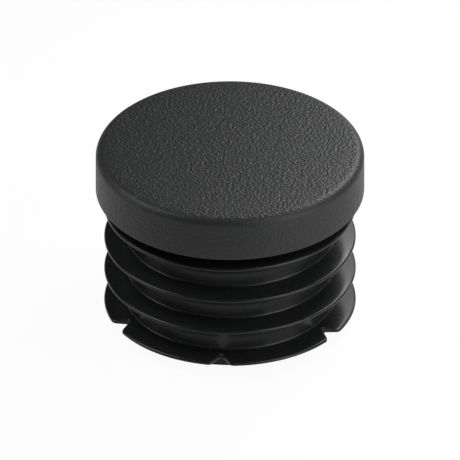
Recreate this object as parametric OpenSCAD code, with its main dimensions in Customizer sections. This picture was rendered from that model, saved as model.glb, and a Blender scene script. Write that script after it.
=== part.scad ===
// Ribbed plug for the open end of a round tube, moulded as one piece.
// The head caps the tube and its shoulder stops on the tube's end.
// The hollow stem goes into the tube, and the thin lips round it bend and grip the bore.
// Origin at the centre of the stem's end ring, +Z up through the head.

/* [Head] */
// Diameter of the head, the outside of the tube that it caps
head_d = 30; // [29:0.5:40]
// Height of the head above its shoulder
head_h = 5.2; // [4:0.1:8]
// Rounding of the top edge
head_top_round = 0.95; // [0.3:0.05:1.5]
// Rounding of the lower edge
head_low_round = 0.2; // [0.1:0.05:0.4]
// Thickness of the head over the hollow
head_skin = 2.4; // [1.5:0.1:3.2]

/* [Stem] */
// Outside diameter of the stem between the lips
stem_d = 23.4; // [21:0.1:25]
// Wall of the stem at its open end
stem_wall = 1.7; // [1.2:0.1:2.5]
// Draft of the hollow, which narrows towards the head
hollow_draft = 0.75; // [0.25:0.25:1.5]
// Rounding at the closed end of the hollow
hollow_round = 1.2; // [0.5:0.1:2]
// Length of stem below the middle of the last lip
stem_tail = 1.55; // [1.2:0.05:3]
// Rounding of the outer edge of the stem's end
stem_end_round = 0.1; // [0.05:0.05:0.4]

/* [Lips] */
// Diameter over the tips of the lips
lip_d = 28.1; // [27:0.1:28.5]
// Number of lips
lip_count = 4; // [2:1:6]
// Distance from one lip to the next
lip_pitch = 4.14; // [3.5:0.01:6]
// Distance from the shoulder to the middle of the first lip
lip_first = 1.95; // [1.5:0.05:4]
// Thickness of a lip at its tip
lip_tip = 0.3; // [0.1:0.02:0.4]
// Slope of a lip's upper side, falling outwards
lip_top_slope = 10.5; // [6:0.5:16]
// Slope of a lip's under side, rising outwards
lip_under_slope = 2; // [1:0.5:8]
// Fillet between the stem and the lip's upper side
lip_top_round = 0.25; // [0.1:0.05:0.6]
// Fillet between the stem and the lip's under side, which stiffens the lip against being pulled out
lip_under_round = 1.9; // [0.3:0.1:2]
// Fillet under the last lip, where the stem's end leaves less room
last_under_round = 0.5; // [0.2:0.05:0.6]

/* [Notches] */
// Number of notches round the last lip
notch_count = 6; // [3:1:12]
// Depth of a notch, from the lip's tip inwards
notch_depth = 1.6; // [0.8:0.05:1.8]
// Angle between the two sides of a notch
notch_angle = 64; // [50:1:90]
// Rounding at the bottom of a notch
notch_round = 0.24; // [0.1:0.01:0.3]
// Rounding where a notch breaks through the lip's tip
notch_corner_round = 0.63; // [0.2:0.01:0.7]

/* [Hidden] */
$fn = 128;
// How far a cutting shape runs past what it cuts
past = 1;
head_r = head_d / 2;
stem_r = stem_d / 2;
lip_r = lip_d / 2;
// Heights above the stem's end: the last lip, the shoulder and the top of the head
last_lip_z = stem_tail;
shoulder_z = last_lip_z + (lip_count - 1) * lip_pitch + lip_first;
top_z = shoulder_z + head_h;
// The hollow, from its mouth to its closed end under the head's skin
hollow_r = stem_r - stem_wall;
hollow_h = top_z - head_skin;
hollow_end_r = hollow_r - hollow_h * tan(hollow_draft);
// Where a lip's section starts, inside the stem's wall
lip_start_r = stem_r - stem_wall / 2;
// The notches are turned so that one of them faces -Y
notch_turn = -90;
// The arcs of a notch meet its sides and the lip's tip at this small angle
arc_run_out = 12;

// Cuts an outer corner of a revolved section to leave an arc of radius r.
// side is 1 for a corner at the top of the section and -1 for one at its bottom.
module corner_cut(x, z, r, side) {
    centre_z = z - side * r;
    difference() {
        translate([x - r, side > 0 ? centre_z : z - past]) square(r + past);
        circle_at([x - r, centre_z], r);
    }
}

// A path as given, or its mirror image in the first axis, taken backwards so that it runs the same way round
function flipped(path, side) =
    side > 0 ? path : [for (i = [len(path) - 1 : -1 : 0]) [path[i][0], -path[i][1]]];

// Fills the corner between the stem and one side of a lip, with z = 0 at the middle of the lip.
// side is 1 for the lip's upper side and -1 for its under side.
module root_fillet(slope, r, side) {
    centre_x = stem_r + r;
    centre_z = lip_tip / 2 + (lip_r - centre_x) * tan(slope) + r / cos(slope);
    touch = [centre_x - r * sin(slope), centre_z - r * cos(slope)];
    path = [[lip_start_r, 0], touch, [centre_x, centre_z], [lip_start_r, centre_z]];
    difference() {
        polygon(flipped(path, side));
        circle_at([centre_x, side * centre_z], r);
    }
}

// Half section of one lip: a wedge that thins towards its tip, with filleted roots
module lip_section(under_round) {
    reach = lip_r - lip_start_r;
    top_root_z = lip_tip / 2 + reach * tan(lip_top_slope);
    under_root_z = -lip_tip / 2 - reach * tan(lip_under_slope);
    polygon([
        [lip_start_r, under_root_z],
        [lip_r, -lip_tip / 2],
        [lip_r, lip_tip / 2],
        [lip_start_r, top_root_z]
    ]);
    root_fillet(lip_top_slope, lip_top_round, 1);
    root_fillet(lip_under_slope, under_round, -1);
}

// Half section of the head, with both edges rounded
module head_section() {
    difference() {
        translate([0, shoulder_z]) square([head_r, head_h]);
        corner_cut(head_r, top_z, head_top_round, 1);
        corner_cut(head_r, shoulder_z, head_low_round, -1);
    }
}

// Half section of the stem, reaching a little way into the head
module stem_section() {
    difference() {
        square([stem_r, shoulder_z + head_h / 2]);
        corner_cut(stem_r, 0, stem_end_round, -1);
    }
}

// Half section of the hollow: a drafted core with a rounded closed end
module hollow_section() {
    mouth_r = hollow_r + past * tan(hollow_draft);
    difference() {
        polygon([[0, -past], [mouth_r, -past], [hollow_end_r, hollow_h], [0, hollow_h]]);
        hollow_corner();
    }
}

// The sliver between the hollow's rounded end and its sharp corner
module hollow_corner() {
    r = hollow_round;
    turn = 90 - hollow_draft;
    wall_x = hollow_end_r + r * tan(hollow_draft);
    centre = [wall_x - r / cos(hollow_draft), hollow_h - r];
    touch = [centre[0] + r * sin(turn), centre[1] + r * cos(turn)];
    difference() {
        polygon([
            centre,
            touch,
            [hollow_end_r + past, touch[1]],
            [hollow_end_r + past, hollow_h + past],
            [centre[0], hollow_h + past]
        ]);
        circle_at(centre, r);
    }
}

// Plan of one notch along +X: straight sides, a round bottom and rounded corners at the tip
module notch_plan() {
    half = notch_angle / 2;
    along = [cos(half), sin(half)];
    across = [-sin(half), cos(half)];
    // Distances of the two arcs' centres from the side
    bottom_off = notch_round * cos(arc_run_out);
    corner_off = notch_corner_round * cos(arc_run_out);
    bottom = [lip_r - notch_depth + notch_round, 0];
    sharp = bottom - [bottom_off / sin(half), 0];
    // The corner's centre lies on a line beside the notch and on a circle inside the lip's tip
    corner_r2 = pow(lip_r, 2) + pow(notch_corner_round, 2) - 2 * lip_r * corner_off;
    start = sharp + corner_off * across;
    run = start * along;
    corner = start + (sqrt(run * run - start * start + corner_r2) - run) * along;
    path = [
        corner * (lip_r + past) / norm(corner),
        corner,
        corner - corner_off * across,
        bottom + bottom_off * across,
        bottom
    ];
    circle_at(bottom, notch_round);
    difference() {
        polygon([for (side = [1, -1]) each flipped(path, side)]);
        for (side = [1, -1]) circle_at([corner[0], side * corner[1]], notch_corner_round);
    }
}

module circle_at(centre, r) {
    translate(centre) circle(r);
}

// The last lip, with the notches cut down through it
module notched_lip() {
    difference() {
        translate([0, 0, last_lip_z]) rotate_extrude() lip_section(last_under_round);
        for (i = [0 : notch_count - 1])
            rotate(notch_turn + i * 360 / notch_count)
                translate([0, 0, -past])
                    linear_extrude(last_lip_z + lip_pitch) notch_plan();
    }
}

module plug() {
    color("#2b2c2d") union() {
        rotate_extrude() difference() {
            union() {
                head_section();
                stem_section();
                for (i = [1 : lip_count - 1])
                    translate([0, last_lip_z + i * lip_pitch]) lip_section(lip_under_round);
            }
            hollow_section();
        }
        notched_lip();
    }
}

plug();
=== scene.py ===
# A ribbed plug for the open end of a round tube, moulded in one piece from black polyethylene.
# Its mesh is turned about the axis from one half section, column by column. The last lip's section
# changes from column to column, because the notches change how far that lip reaches.
# Lengths are in millimetres here; meshes, materials, lamps and the camera get them in metres.
import math

import bpy
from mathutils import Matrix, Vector


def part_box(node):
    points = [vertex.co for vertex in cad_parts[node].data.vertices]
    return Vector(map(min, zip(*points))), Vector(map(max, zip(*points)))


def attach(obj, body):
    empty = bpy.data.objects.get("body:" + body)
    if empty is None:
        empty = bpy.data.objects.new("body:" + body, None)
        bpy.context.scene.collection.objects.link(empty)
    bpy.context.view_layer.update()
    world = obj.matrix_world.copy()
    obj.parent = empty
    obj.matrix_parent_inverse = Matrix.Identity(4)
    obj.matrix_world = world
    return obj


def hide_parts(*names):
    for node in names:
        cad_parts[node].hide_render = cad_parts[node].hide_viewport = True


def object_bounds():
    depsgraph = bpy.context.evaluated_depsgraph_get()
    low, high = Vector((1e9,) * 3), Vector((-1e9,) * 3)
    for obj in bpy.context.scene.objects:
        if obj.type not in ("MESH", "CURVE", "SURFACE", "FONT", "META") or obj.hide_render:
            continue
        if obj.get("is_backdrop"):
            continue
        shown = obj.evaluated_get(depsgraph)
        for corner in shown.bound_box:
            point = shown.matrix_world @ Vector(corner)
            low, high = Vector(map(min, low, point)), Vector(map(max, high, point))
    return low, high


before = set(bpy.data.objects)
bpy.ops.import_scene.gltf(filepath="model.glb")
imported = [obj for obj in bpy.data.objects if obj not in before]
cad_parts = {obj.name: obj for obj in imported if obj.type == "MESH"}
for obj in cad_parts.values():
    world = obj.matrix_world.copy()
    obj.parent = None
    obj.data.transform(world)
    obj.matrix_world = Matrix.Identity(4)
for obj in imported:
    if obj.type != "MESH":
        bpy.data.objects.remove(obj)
solid_low, solid_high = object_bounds()

MM = 0.001

# Head; its width and the place of its top are the solid's own
head_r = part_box("plug")[1][0] / MM
top_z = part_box("plug")[1][2] / MM
head_h = 5.2
head_top_round = 0.95
head_low_round = 0.2
head_skin = 2.4
shoulder_z = top_z - head_h

# Stem and its hollow
stem_r = 11.7
stem_wall = 1.7
stem_end_round = 0.1
hollow_draft = math.radians(0.75)
hollow_round = 1.2
hollow_h = top_z - head_skin

# Lips, which thin towards their tips
lip_count = 4
lip_pitch = 4.14
lip_first = 1.95
lip_r = 14.05
lip_tip = 0.3
lip_top_slope = math.radians(10.5)
lip_under_slope = math.radians(2)
# Fillets between the stem and a lip: above it, under it, and under the last one
lip_top_round = 0.25
lip_under_round = 1.9
last_under_round = 0.5
# Rounding of a lip's two edges, as the mould leaves them
lip_top_edge_round = 0.23
lip_under_edge_round = 0.05

# Notches through the last lip, one of them facing -Y
notch_count = 6
notch_depth = 1.6
notch_half_angle = math.radians(32)
notch_round = 0.24
notch_corner_round = 0.63
notch_turn = math.radians(-90)

# Steps of the section's arcs and straight runs
head_top_steps = 8
head_top_round_steps = 12
head_side_steps = 4
head_low_round_steps = 6
lip_fillet_steps = 10
lip_slope_steps = 4
lip_edge_round_steps = 5
lip_tip_steps = 3
stem_end_steps = 5
hollow_wall_steps = 6
hollow_round_steps = 8
hollow_end_steps = 5

# Columns of the mesh, closer together within a notch's reach
notch_columns = 44
plain_columns = 26
notch_reach = math.radians(7)
# Edges where the mesh turns by more than this stay sharp
sharp_angle = math.radians(40)

# Black polyethylene, the same in both finishes
black = "#1c1d1d"
polyethylene_ior = 1.51

# Grain of the head: the size and height of its pebbles, and its strength from place to place
pebble_size = 0.31
pebble_height = 0.1
top_strength = 1.0
edge_strength = 0.4
side_strength = 0.9
# Heights where the grain begins to grow from its strength on the rounded edge, and where it is full
top_grain_from = top_z - 0.27
top_grain_full = top_z - 0.02
side_grain_from = top_z - head_top_round + 0.2
side_grain_full = top_z - head_top_round - 0.3

# Size of the clouds in the satin skin
cloud_size = 2.5

# Most of a noise pattern lies between these values
noise_low = 0.3
noise_high = 0.7

# The photograph's view, which has no perspective, and the head's width in it
photo_width_px = 460
head_width_px = 268.7
view_azimuth = 4.3
view_elevation = 32.22
view_distance = 300
view_middle_z = 10.51


def arc(centre, r, start, end, steps):
    """Points on an arc of a section, from one angle to another in degrees."""
    turns = [math.radians(start + (end - start) * i / steps) for i in range(steps + 1)]
    return [(centre[0] + r * math.cos(t), centre[1] + r * math.sin(t)) for t in turns]


def line(start, end, steps):
    """Points between two points of a section, without the two themselves."""
    run, rise = end[0] - start[0], end[1] - start[1]
    shares = [i / steps for i in range(1, steps)]
    return [(start[0] + run * s, start[1] + rise * s) for s in shares]


def last_lip_reach(turn):
    """How far the last lip reaches, at an angle from the middle of the nearest notch."""
    along = Vector((math.cos(notch_half_angle), math.sin(notch_half_angle)))
    across = Vector((-along.y, along.x))
    bottom = Vector((lip_r - notch_depth + notch_round, 0))
    sharp = Vector((bottom.x - notch_round / math.sin(notch_half_angle), 0))
    # The rounded corner's centre lies beside the notch's side, and inside the lip's tip
    start = sharp + notch_corner_round * across
    run = start.dot(along)
    corner_path_r = lip_r - notch_corner_round
    corner = start + along * (math.sqrt(run**2 - start.dot(start) + corner_path_r**2) - run)
    side_from = bottom + notch_round * across
    side_to = corner - notch_corner_round * across
    turn = abs(turn)
    ray = Vector((math.cos(turn), math.sin(turn)))
    if turn < math.atan2(side_from.y, side_from.x):
        return bottom.x * ray.x - math.sqrt(notch_round**2 - (bottom.x * ray.y) ** 2)
    if turn < math.atan2(side_to.y, side_to.x):
        return sharp.x * math.sin(notch_half_angle) / math.sin(notch_half_angle - turn)
    if turn < math.atan2(corner.y, corner.x):
        off = corner.x * ray.y - corner.y * ray.x
        return corner.dot(ray) + math.sqrt(notch_corner_round**2 - off**2)
    return lip_r


def lip_side(reach, slope, root_round, edge_round, side):
    """One side of a lip's section, from the stem to its edge; side is 1 above and -1 below."""

    def height(r):
        return lip_tip / 2 + (lip_r - r) * math.tan(slope)

    lean = math.degrees(slope)
    root_x = stem_r + root_round
    edge_x = reach - edge_round
    root = (root_x, height(root_x) + root_round / math.cos(slope))
    edge = (edge_x, height(edge_x) - edge_round / math.cos(slope))
    fillet = arc(root, root_round, 180, 270 - lean, lip_fillet_steps)
    rounded = arc(edge, edge_round, 90 - lean, 0, lip_edge_round_steps)
    path = fillet + line(fillet[-1], rounded[0], lip_slope_steps) + rounded
    return [(r, side * z) for r, z in path]


def lip_section(middle_z, reach, under_round):
    """A lip's whole section, from the stem above it round to the stem below it."""
    above = lip_side(reach, lip_top_slope, lip_top_round, lip_top_edge_round, 1)
    below = lip_side(reach, lip_under_slope, under_round, lip_under_edge_round, -1)[::-1]
    edge = line(above[-1], below[0], lip_tip_steps)
    return [(r, middle_z + z) for r, z in above + edge + below]


def head_path():
    """The head's section, from the middle of its top to the outer edge of its shoulder."""
    top_centre = (head_r - head_top_round, top_z - head_top_round)
    low_centre = (head_r - head_low_round, shoulder_z + head_low_round)
    top_edge = arc(top_centre, head_top_round, 90, 0, head_top_round_steps)
    low_edge = arc(low_centre, head_low_round, 0, -90, head_low_round_steps)
    top = [(0, top_z)] + line((0, top_z), top_edge[0], head_top_steps)
    return top + top_edge + line(top_edge[-1], low_edge[0], head_side_steps) + low_edge


def hollow_path():
    """The hollow's section, from its mouth to the middle of its closed end."""
    mouth = (stem_r - stem_wall, 0)
    end = (0, hollow_h)
    wall_r = mouth[0] - (hollow_h - hollow_round) * math.tan(hollow_draft)
    centre = (wall_r - hollow_round / math.cos(hollow_draft), hollow_h - hollow_round)
    end_round = arc(centre, hollow_round, math.degrees(hollow_draft), 90, hollow_round_steps)
    wall = [mouth] + line(mouth, end_round[0], hollow_wall_steps)
    return wall + end_round + line(end_round[-1], end, hollow_end_steps) + [end]


def plug_section(last_reach):
    """The plug's half section, from the middle of its top round to the hollow's closed end."""
    path = head_path() + [(stem_r, shoulder_z)]
    lip_z = shoulder_z - lip_first
    for _ in range(lip_count - 1):
        path += lip_section(lip_z, lip_r, lip_under_round)
        lip_z -= lip_pitch
    path += lip_section(lip_z, last_reach, last_under_round)
    stem_end_centre = (stem_r - stem_end_round, stem_end_round)
    path += arc(stem_end_centre, stem_end_round, 0, -90, stem_end_steps)
    return path + hollow_path()


def plug_columns():
    """The plug's columns, each with its turn about the axis and its half section."""
    spacing = 2 * math.pi / notch_count
    plain_reach = spacing - 2 * notch_reach
    offs = [notch_reach * (2 * i / notch_columns - 1) for i in range(notch_columns)]
    offs += [notch_reach + plain_reach * i / plain_columns for i in range(plain_columns)]
    sections = [plug_section(last_lip_reach(off)) for off in offs]
    for notch in range(notch_count):
        for off, section in zip(offs, sections):
            yield notch_turn + notch * spacing + off, section


def turned_piece(name, columns, materials, first_rows=0):
    """A piece turned from half sections that start on the axis and may end there.

    The first rows, counted from the axis, take the first material and the others the last one.
    """
    columns = list(columns)
    section = columns[0][1]
    closed = section[-1][0] == 0
    rows = len(section) - (2 if closed else 1)
    points = []
    for turn, section in columns:
        for r, z in section[1 : rows + 1]:
            points.append(Vector((r * math.cos(turn), r * math.sin(turn), z)) * MM)
    points.append(Vector((0, 0, section[0][1])) * MM)
    points.append(Vector((0, 0, section[-1][1])) * MM)
    start, end = len(points) - 2, len(points) - 1
    faces, finishes = [], []
    for i in range(len(columns)):
        here, there = i * rows, (i + 1) % len(columns) * rows
        column = [(start, here, there)]
        column += [(here + j, here + j + 1, there + j + 1, there + j) for j in range(rows - 1)]
        if closed:
            column.append((end, there + rows - 1, here + rows - 1))
        faces += column
        finishes += [0 if j < first_rows else len(materials) - 1 for j in range(len(column))]
    mesh = bpy.data.meshes.new(name)
    mesh.from_pydata(points if closed else points[:-1], [], faces)
    for material in materials:
        mesh.materials.append(material)
    mesh.polygons.foreach_set("material_index", finishes)
    mesh.shade_smooth()
    mesh.set_sharp_from_angle(angle=sharp_angle)
    piece = bpy.data.objects.new(name, mesh)
    bpy.context.scene.collection.objects.link(piece)
    return piece


def linear(hex_code):
    """An sRGB hex colour as the linear colour that a socket takes."""
    levels = [int(hex_code[i : i + 2], 16) / 255 for i in (1, 3, 5)]
    return [v / 12.92 if v <= 0.04045 else ((v + 0.055) / 1.055) ** 2.4 for v in levels] + [1]


def per_metre(size):
    """The texture scale that gives features of this size in millimetres."""
    return 1 / (size * MM)


def add(tree, kind, sockets=None, **settings):
    """Adds a node with its settings. Each socket takes a value or the output that feeds it."""
    node = tree.nodes.new(kind)
    for key, value in settings.items():
        setattr(node, key, value)
    for key, value in (sockets or {}).items():
        if isinstance(value, bpy.types.NodeSocket):
            tree.links.new(value, node.inputs[key])
        else:
            node.inputs[key].default_value = value
    return node


def new_material(name):
    """A new material and its empty node tree."""
    material = bpy.data.materials.new(name)
    material.use_nodes = True
    material.node_tree.nodes.clear()
    return material, material.node_tree


def grained_polyethylene():
    """Polyethylene moulded against a spark-eroded tool.

    Small crowded pebbles scatter the light, so the face looks matt and glitters a little.
    The tool's rounded edge was polished, so the grain is faint there and shows again on the side.
    """
    material, tree = new_material("polyethylene_grained")
    place = add(tree, "ShaderNodeTexCoord").outputs["Object"]
    pebbles = add(
        tree,
        "ShaderNodeTexNoise",
        {
            "Vector": place,
            "Scale": per_metre(pebble_size),
            "Detail": 0.5,
            "Roughness": 0.4,
            "Distortion": 0.4,
        },
    ).outputs["Fac"]
    height = add(tree, "ShaderNodeSeparateXYZ", {"Vector": place}).outputs["Z"]
    depth = edge_strength
    for start, full, strength in (
        (top_grain_from, top_grain_full, top_strength),
        (side_grain_from, side_grain_full, side_strength),
    ):
        part = add(
            tree,
            "ShaderNodeMapRange",
            {
                "Value": height,
                "From Min": start * MM,
                "From Max": full * MM,
                "To Min": edge_strength,
                "To Max": strength,
            },
            interpolation_type="SMOOTHSTEP",
        ).outputs["Result"]
        depth = add(tree, "ShaderNodeMath", {0: depth, 1: part}, operation="MAXIMUM").outputs[0]
    relief = add(
        tree,
        "ShaderNodeBump",
        {"Strength": depth, "Distance": pebble_height * MM, "Height": pebbles},
    ).outputs["Normal"]
    # The pebbles' tops touch the tool last and come out a little smoother than the valleys
    matt = add(
        tree,
        "ShaderNodeMapRange",
        {
            "Value": pebbles,
            "From Min": noise_low,
            "From Max": noise_high,
            "To Min": 0.54,
            "To Max": 0.49,
        },
    ).outputs["Result"]
    shader = add(
        tree,
        "ShaderNodeBsdfPrincipled",
        {
            "Base Color": linear(black),
            "Roughness": matt,
            "IOR": polyethylene_ior,
            "Specular IOR Level": 0.34,
            "Normal": relief,
        },
    )
    add(tree, "ShaderNodeOutputMaterial", {"Surface": shader.outputs["BSDF"]})
    return material


def satin_polyethylene():
    """Polyethylene moulded against a plain milled tool.

    A waxy satin skin: soft but clear highlights, a little cloudy where the melt cooled unevenly.
    """
    material, tree = new_material("polyethylene_satin")
    place = add(tree, "ShaderNodeTexCoord").outputs["Object"]
    clouds = add(
        tree,
        "ShaderNodeTexNoise",
        {"Vector": place, "Scale": per_metre(cloud_size), "Detail": 3.0},
    ).outputs["Fac"]
    waxy = add(
        tree,
        "ShaderNodeMapRange",
        {
            "Value": clouds,
            "From Min": noise_low,
            "From Max": noise_high,
            "To Min": 0.23,
            "To Max": 0.29,
        },
    ).outputs["Result"]
    shader = add(
        tree,
        "ShaderNodeBsdfPrincipled",
        {
            "Base Color": linear(black),
            "Roughness": waxy,
            "IOR": polyethylene_ior,
            "Specular IOR Level": 0.26,
        },
    )
    add(tree, "ShaderNodeOutputMaterial", {"Surface": shader.outputs["BSDF"]})
    return material


def white_paper(name, seen_share):
    """Matt white paper, plain white without light or shade in the share that the camera sees.

    Where it is mirrored, it is half plain, so that it keeps some of its shade there.
    """
    material, tree = new_material(name)
    mirrored_share = 0.5
    plain_shares = {
        "Is Camera Ray": seen_share,
        "Is Glossy Ray": mirrored_share,
        "Is Transmission Ray": mirrored_share,
    }
    path = add(tree, "ShaderNodeLightPath").outputs
    share = 0
    for kind, plain_share in plain_shares.items():
        part = add(tree, "ShaderNodeMath", {0: path[kind], 1: plain_share}, operation="MULTIPLY")
        pair = {0: share, 1: part.outputs[0]}
        share = add(tree, "ShaderNodeMath", pair, operation="MAXIMUM").outputs[0]
    matt = add(tree, "ShaderNodeBsdfDiffuse", {"Color": linear("#f2f2f2")}).outputs[0]
    plain = add(tree, "ShaderNodeEmission", {"Strength": 1.0}).outputs[0]
    both = add(tree, "ShaderNodeMixShader", {0: share, 1: matt, 2: plain}).outputs[0]
    add(tree, "ShaderNodeOutputMaterial", {"Surface": both})
    return material


def make_plug():
    """The plug, grained on its head and satin everywhere else."""
    finishes = [grained_polyethylene(), satin_polyethylene()]
    plug = turned_piece("moulded_plug", plug_columns(), finishes, len(head_path()) - 1)
    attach(plug, "root")
    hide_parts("plug")


def make_floor():
    """A round sheet of paper whose rim curves up, so that it is behind the plug from every side.

    It keeps a faint shadow. Plain paper closes it below, where a low view starts under the sheet.
    """
    flat_r, rim_r, rim_steps = 600, 100, 8
    under_z, columns = -100, 96
    seen_share = 0.94
    sheet = [(0, 0), (flat_r / 3, 0)] + arc((flat_r, rim_r), rim_r, -90, 0, rim_steps)
    path = sheet + [(flat_r + rim_r, under_z), (0, under_z)]
    turns = [2 * math.pi * i / columns for i in range(columns)]
    papers = [white_paper("white_paper", seen_share), white_paper("plain_paper", 1.0)]
    turned_piece("floor", [(turn, path) for turn in turns], papers, len(sheet) - 1)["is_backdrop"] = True


def aim(thing, azimuth, elevation, distance, middle_z):
    """Puts a lamp or camera round a point on the axis and turns it to that point.

    Azimuth 0 is in front, at -Y, and 90 is at +X.
    """
    a, e = math.radians(azimuth), math.radians(elevation)
    back = Vector((math.sin(a) * math.cos(e), -math.cos(a) * math.cos(e), math.sin(e)))
    thing.location = (Vector((0, 0, middle_z)) + back * distance) * MM
    thing.rotation_euler = back.to_track_quat("Z", "Y").to_euler()
    bpy.context.scene.collection.objects.link(thing)


def soft_box(name, azimuth, elevation, distance, width, height, brightness):
    """A rectangular lamp that faces the plug; its brightness is in multiples of plain white."""
    data = bpy.data.lights.new(name, "AREA")
    data.shape = "RECTANGLE"
    data.size = width * MM
    data.size_y = height * MM
    data.energy = brightness * math.pi * data.size * data.size_y
    aim(bpy.data.objects.new(name, data), azimuth, elevation, distance, top_z / 2)


def make_light():
    """Soft boxes round the plug, brightest on the right, in a dim room."""
    # Azimuth, elevation, distance, width, height and brightness of each
    soft_box("left", -84, 49, 120, 68, 50, 5.7)
    soft_box("left_low", -78, 18, 120, 45, 35, 3.0)
    soft_box("front_right", 52, 44, 120, 75, 55, 3.9)
    soft_box("front_right_low", 56, 8, 120, 76, 28, 7.2)
    soft_box("back_right", 137, 47, 80, 52, 28, 11.8)
    soft_box("back", 156, 30, 120, 60, 44, 2.5)
    world = bpy.data.worlds.new("dim_room")
    world.use_nodes = True
    world.node_tree.nodes["Background"].inputs["Color"].default_value = linear("#202020")
    bpy.context.scene.world = world


def make_camera():
    """A camera at the photograph's viewing angle and scale."""
    data = bpy.data.cameras.new("camera")
    data.type = "ORTHO"
    data.ortho_scale = 2 * head_r * photo_width_px / head_width_px * MM
    camera = bpy.data.objects.new("camera", data)
    aim(camera, view_azimuth, view_elevation, view_distance, view_middle_z)
    bpy.context.scene.camera = camera


make_plug()
make_floor()
make_light()
make_camera()
bpy.context.scene.view_settings.view_transform = "Standard"

visual_low, visual_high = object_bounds()
boxes = {"solid": (solid_low, solid_high), "visual": (visual_low, visual_high)}
{name: [list(corner) for corner in box] for name, box in boxes.items()}
